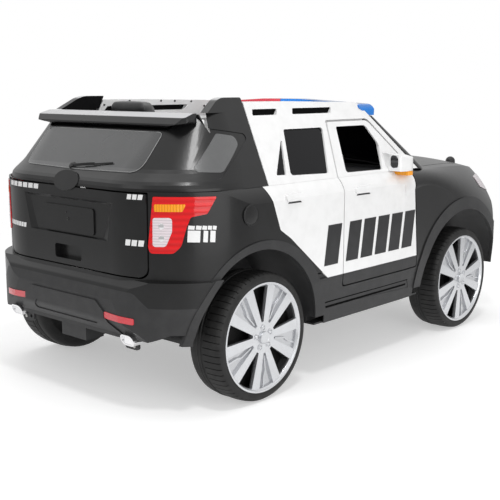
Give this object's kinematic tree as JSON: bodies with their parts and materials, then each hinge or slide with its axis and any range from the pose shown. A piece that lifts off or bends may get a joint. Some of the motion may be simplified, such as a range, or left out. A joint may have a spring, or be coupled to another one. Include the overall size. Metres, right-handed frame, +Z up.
{
  "type": "child's ride-on patrol suv",
  "caption": "Electric ride-on toy SUV in black and white patrol livery with open roof, hinged doors, working steering and free wheels.",
  "frame": {"origin": "on the floor under the middle of the length and width", "axes": "+X to the nose, +Y to the left, +Z up"},
  "size_m": [1.3215, 0.7502, 0.63],
  "materials": {
    "amber_lens": "clear amber",
    "battery_grey": "matte",
    "blue_lens": "clear blue",
    "chrome": "chrome",
    "clear_lens": "clear",
    "grey_pane": "satin",
    "mirror": "polished",
    "red_lens": "clear red",
    "satin_black": "satin",
    "seat_vinyl": "leather look",
    "silver": "metallic silver",
    "smoked_glass": "smoked",
    "steel": "zinc plated",
    "trim_black": "fine grain",
    "tyre_black": "matte",
    "white": "gloss"
  },
  "bodies": {
    "car_body": {"arch_trims": "trim_black", "badge_disc": "satin_black", "battery": "battery_grey", "bonnet": "satin_black", "dashboard": "trim_black", "exhaust_tips": "chrome", "floor_tub": "trim_black", "front_beam": "steel", "front_body": "satin_black", "front_bumper": "trim_black", "front_lamps": "clear_lens", "grille": "trim_black", "headrest": "seat_vinyl", "hinge_pins": "steel", "light_bar_blue": "blue_lens", "light_bar_red": "red_lens", "motor_gearboxes": "trim_black", "number_plate": "satin_black", "push_bar": "trim_black", "quarter_windows": "grey_pane", "rear_axle": "steel", "rear_brackets": "trim_black", "rear_bumper": "trim_black", "rear_quarters": "satin_black", "rear_reflectors": "red_lens", "rear_shell": "satin_black", "rear_window": "grey_pane", "roof_frame": "white", "seat_back": "seat_vinyl", "seat_cushion": "seat_vinyl", "seat_frame": "trim_black", "side_glass": "smoked_glass", "side_panels": "white", "sills": "trim_black", "tail_lamp_ambers": "amber_lens", "tail_lamp_clears": "clear_lens", "tail_lamps": "red_lens", "tailgate": "satin_black", "wheel_liners": "trim_black", "windscreen": "smoked_glass"},
    "wheel_rear_left": {"tyre_rear_left": "tyre_black", "rim_rear_left": "silver"},
    "wheel_rear_right": {"tyre_rear_right": "tyre_black", "rim_rear_right": "silver"},
    "wheel_front_left": {"tyre_front_left": "tyre_black", "rim_front_left": "silver"},
    "wheel_front_right": {"tyre_front_right": "tyre_black", "rim_front_right": "silver"},
    "knuckle_left": {"knuckle_left": "steel"},
    "knuckle_right": {"knuckle_right": "steel"},
    "tie_rod": {"tie_rod": "steel"},
    "steering_wheel": {"steering_wheel": "trim_black"},
    "door_left": {"door_left": "white", "door_lining_left": "trim_black", "mirror_glass_left": "mirror", "mirror_indicator_left": "amber_lens"},
    "door_right": {"door_lining_right": "trim_black", "door_right": "white", "mirror_glass_right": "mirror", "mirror_indicator_right": "amber_lens"}
  },
  "joints": [
    {"name": "roll_rear_left", "type": "hinge", "parent": "car_body", "child": "wheel_rear_left", "pos_m": [-0.405, 0.302, 0.138], "axis": [0, 1, 0], "continuous": true},
    {"name": "roll_rear_right", "type": "hinge", "parent": "car_body", "child": "wheel_rear_right", "pos_m": [-0.405, -0.302, 0.138], "axis": [0, 1, 0], "continuous": true},
    {"name": "roll_front_left", "type": "hinge", "parent": "knuckle_left", "child": "wheel_front_left", "pos_m": [0.405, 0.302, 0.138], "axis": [0, 1, 0], "continuous": true},
    {"name": "roll_front_right", "type": "hinge", "parent": "knuckle_right", "child": "wheel_front_right", "pos_m": [0.405, -0.302, 0.138], "axis": [0, 1, 0], "continuous": true},
    {"name": "steer_left", "type": "hinge", "parent": "car_body", "child": "knuckle_left", "pos_m": [0.405, 0.232, 0.138], "axis": [0, 0, 1], "range_deg": [-24, 24]},
    {"name": "steer_right", "type": "hinge", "parent": "car_body", "child": "knuckle_right", "pos_m": [0.405, -0.232, 0.138], "axis": [0, 0, 1], "range_deg": [-24, 24]},
    {"name": "tie_rod_swing", "type": "hinge", "parent": "knuckle_left", "child": "tie_rod", "pos_m": [0.345, 0.232, 0.206], "axis": [0, 0, 1], "range_deg": [-24, 24]},
    {"name": "steering_wheel_turn", "type": "hinge", "parent": "car_body", "child": "steering_wheel", "pos_m": [0.02, 0, 0.44], "axis": [-0.8192, 0, 0.5736], "range_deg": [-36, 36]},
    {"name": "door_left_swing", "type": "hinge", "parent": "car_body", "child": "door_left", "pos_m": [0.142, 0.34, 0.33], "axis": [0, 0, -1], "range_deg": [0, 60]},
    {"name": "door_right_swing", "type": "hinge", "parent": "car_body", "child": "door_right", "pos_m": [0.142, -0.34, 0.33], "axis": [0, 0, 1], "range_deg": [0, 60]}
  ],
  "couplings": [
    {"joint": "steer_right", "follows": "steer_left", "ratio": 1},
    {"joint": "tie_rod_swing", "follows": "steer_left", "ratio": -1},
    {"joint": "steering_wheel_turn", "follows": "steer_left", "ratio": 1.5}
  ]
}
